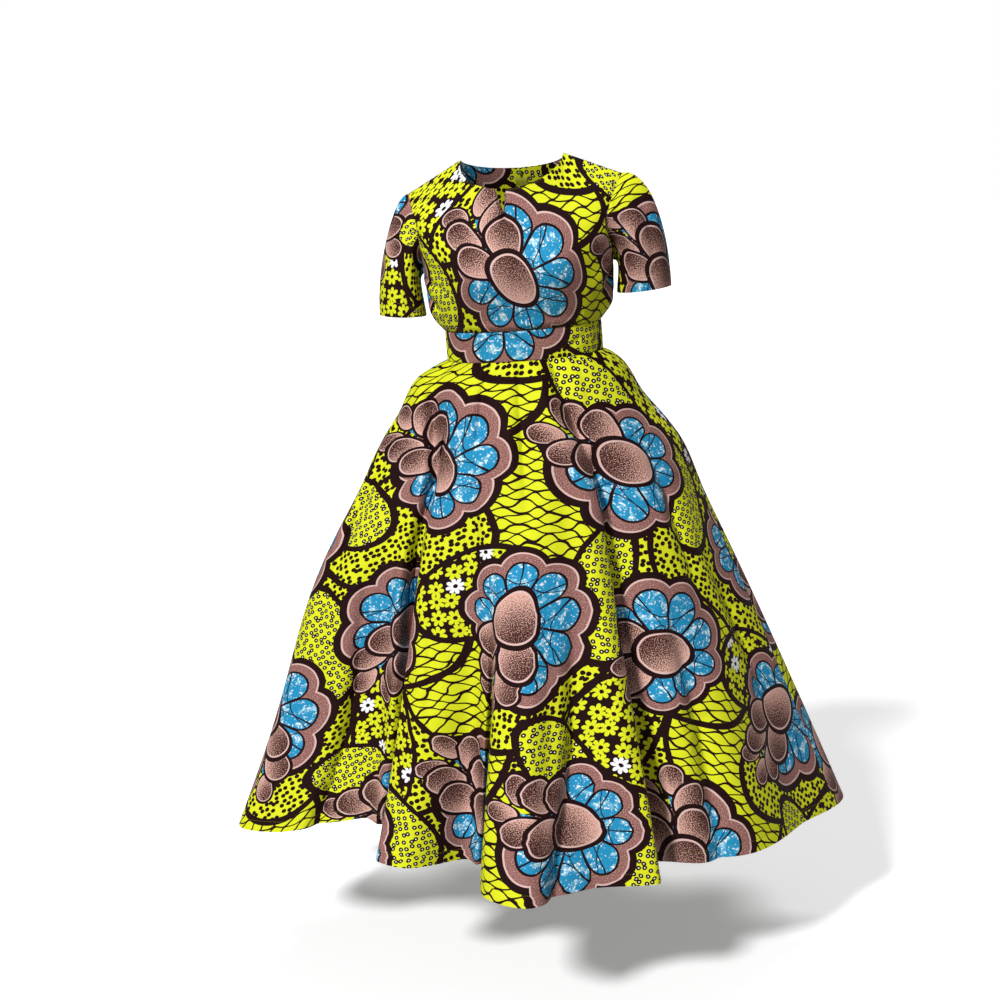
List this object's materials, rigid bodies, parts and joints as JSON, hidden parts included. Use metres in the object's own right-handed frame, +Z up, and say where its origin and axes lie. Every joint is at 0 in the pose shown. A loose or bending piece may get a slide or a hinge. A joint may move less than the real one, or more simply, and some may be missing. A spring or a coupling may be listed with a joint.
{
  "type": "wax print dress",
  "caption": "Long wax print dress, worn and hollow, with a fitted bodice, short set-in sleeves, a slit round neck, waistband, full flared skirt with side pockets, and a back zip.",
  "frame": {"origin": "middle of the neck, level with the points where the shoulder seams meet the neckline", "axes": "+Z up, the front of the dress faces -Y, the wearer's left is +X"},
  "size_m": [1.1288, 1.0614, 1.2055],
  "materials": {
    "wax_print": "printed cotton",
    "zip_tape": "woven tape",
    "zip_metal": "satin enamel"
  },
  "bodies": {
    "dress": {"bodice_front": "wax_print", "bodice_back_left": "wax_print", "bodice_back_right": "wax_print", "waistband_front": "wax_print", "waistband_back_left": "wax_print", "waistband_back_right": "wax_print", "skirt_front": "wax_print", "skirt_back_left": "wax_print", "skirt_back_right": "wax_print", "sleeve_left": "wax_print", "sleeve_right": "wax_print", "pocket_left": "wax_print", "pocket_right": "wax_print", "zip_tape": "zip_tape", "zip_slider": "zip_metal"},
    "pull_tab": {"zip_pull_tab": "zip_metal"}
  },
  "joints": [
    {"name": "pull_tab_hinge", "type": "hinge", "parent": "dress", "child": "pull_tab", "pos_m": [0.01908, 0.06957, -0.02782], "axis": [0.9689, -0.2352, 0.0763], "range_deg": [0, 165]}
  ]
}
